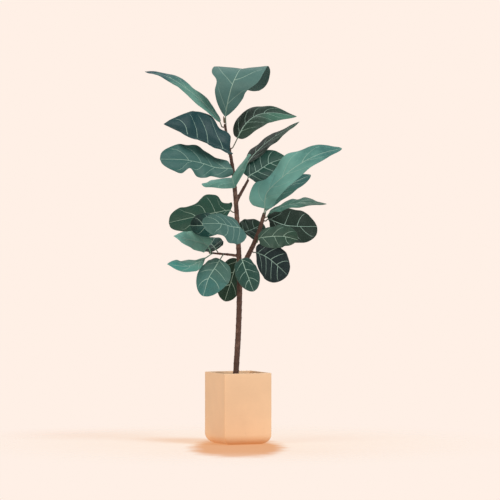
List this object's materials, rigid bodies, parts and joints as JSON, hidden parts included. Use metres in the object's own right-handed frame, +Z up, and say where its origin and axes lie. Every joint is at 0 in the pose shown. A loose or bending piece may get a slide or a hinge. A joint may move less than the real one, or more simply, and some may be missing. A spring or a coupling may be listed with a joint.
{
  "type": "potted fiddle leaf fig",
  "caption": "Young fiddle leaf fig tree with large leathery violin-shaped leaves, in a tall square terracotta-coloured ceramic planter filled with potting soil.",
  "frame": {"origin": "middle of the planter's flat underside, on the floor", "axes": "+Z up; the planter's sides lie along X and Y. The tree's fullest side faces between -X and -Y, 23.5 degrees round from -Y"},
  "size_m": [0.8513, 0.6066, 1.7726],
  "materials": {
    "planter_ceramic": "satin",
    "potting_mix": "matte",
    "bark": "matte",
    "bud_sheath": "matte",
    "leaf_crown_left": "satin",
    "leaf_crown_top": "satin",
    "leaf_upper_left": "satin",
    "leaf_upper_left_low": "satin",
    "leaf_upper_right": "satin",
    "leaf_upper_right_back": "satin",
    "leaf_mid_right_round": "satin",
    "leaf_right_long": "satin",
    "leaf_right_behind": "satin",
    "leaf_right_narrow": "satin",
    "leaf_mid_front": "satin",
    "leaf_left_large": "satin",
    "leaf_centre_front": "satin",
    "leaf_left_inner": "satin",
    "leaf_branch_left_up": "satin",
    "leaf_branch_behind": "satin",
    "leaf_branch_left_down": "satin",
    "leaf_low_left_front": "satin",
    "leaf_low_back": "satin",
    "leaf_low_centre": "satin",
    "leaf_right_low_dark": "satin",
    "leaf_right_mid": "satin",
    "leaf_right_large_dark": "satin",
    "leaf_centre_back": "satin"
  },
  "bodies": {
    "root": {"planter": "planter_ceramic", "potting_soil": "potting_mix", "stem": "bark", "terminal_bud": "bud_sheath", "leaf_crown_left": "leaf_crown_left", "leaf_crown_top": "leaf_crown_top", "leaf_upper_left": "leaf_upper_left", "leaf_upper_left_low": "leaf_upper_left_low", "leaf_upper_right": "leaf_upper_right", "leaf_upper_right_back": "leaf_upper_right_back", "leaf_mid_right_round": "leaf_mid_right_round", "leaf_right_long": "leaf_right_long", "leaf_right_behind": "leaf_right_behind", "leaf_right_narrow": "leaf_right_narrow", "leaf_mid_front": "leaf_mid_front", "leaf_left_large": "leaf_left_large", "leaf_centre_front": "leaf_centre_front", "leaf_left_inner": "leaf_left_inner", "leaf_branch_left_up": "leaf_branch_left_up", "leaf_branch_behind": "leaf_branch_behind", "leaf_branch_left_down": "leaf_branch_left_down", "leaf_low_left_front": "leaf_low_left_front", "leaf_low_back": "leaf_low_back", "leaf_low_centre": "leaf_low_centre", "leaf_right_low_dark": "leaf_right_low_dark", "leaf_right_mid": "leaf_right_mid", "leaf_right_large_dark": "leaf_right_large_dark", "leaf_centre_back": "leaf_centre_back"}
  },
  "joints": []
}
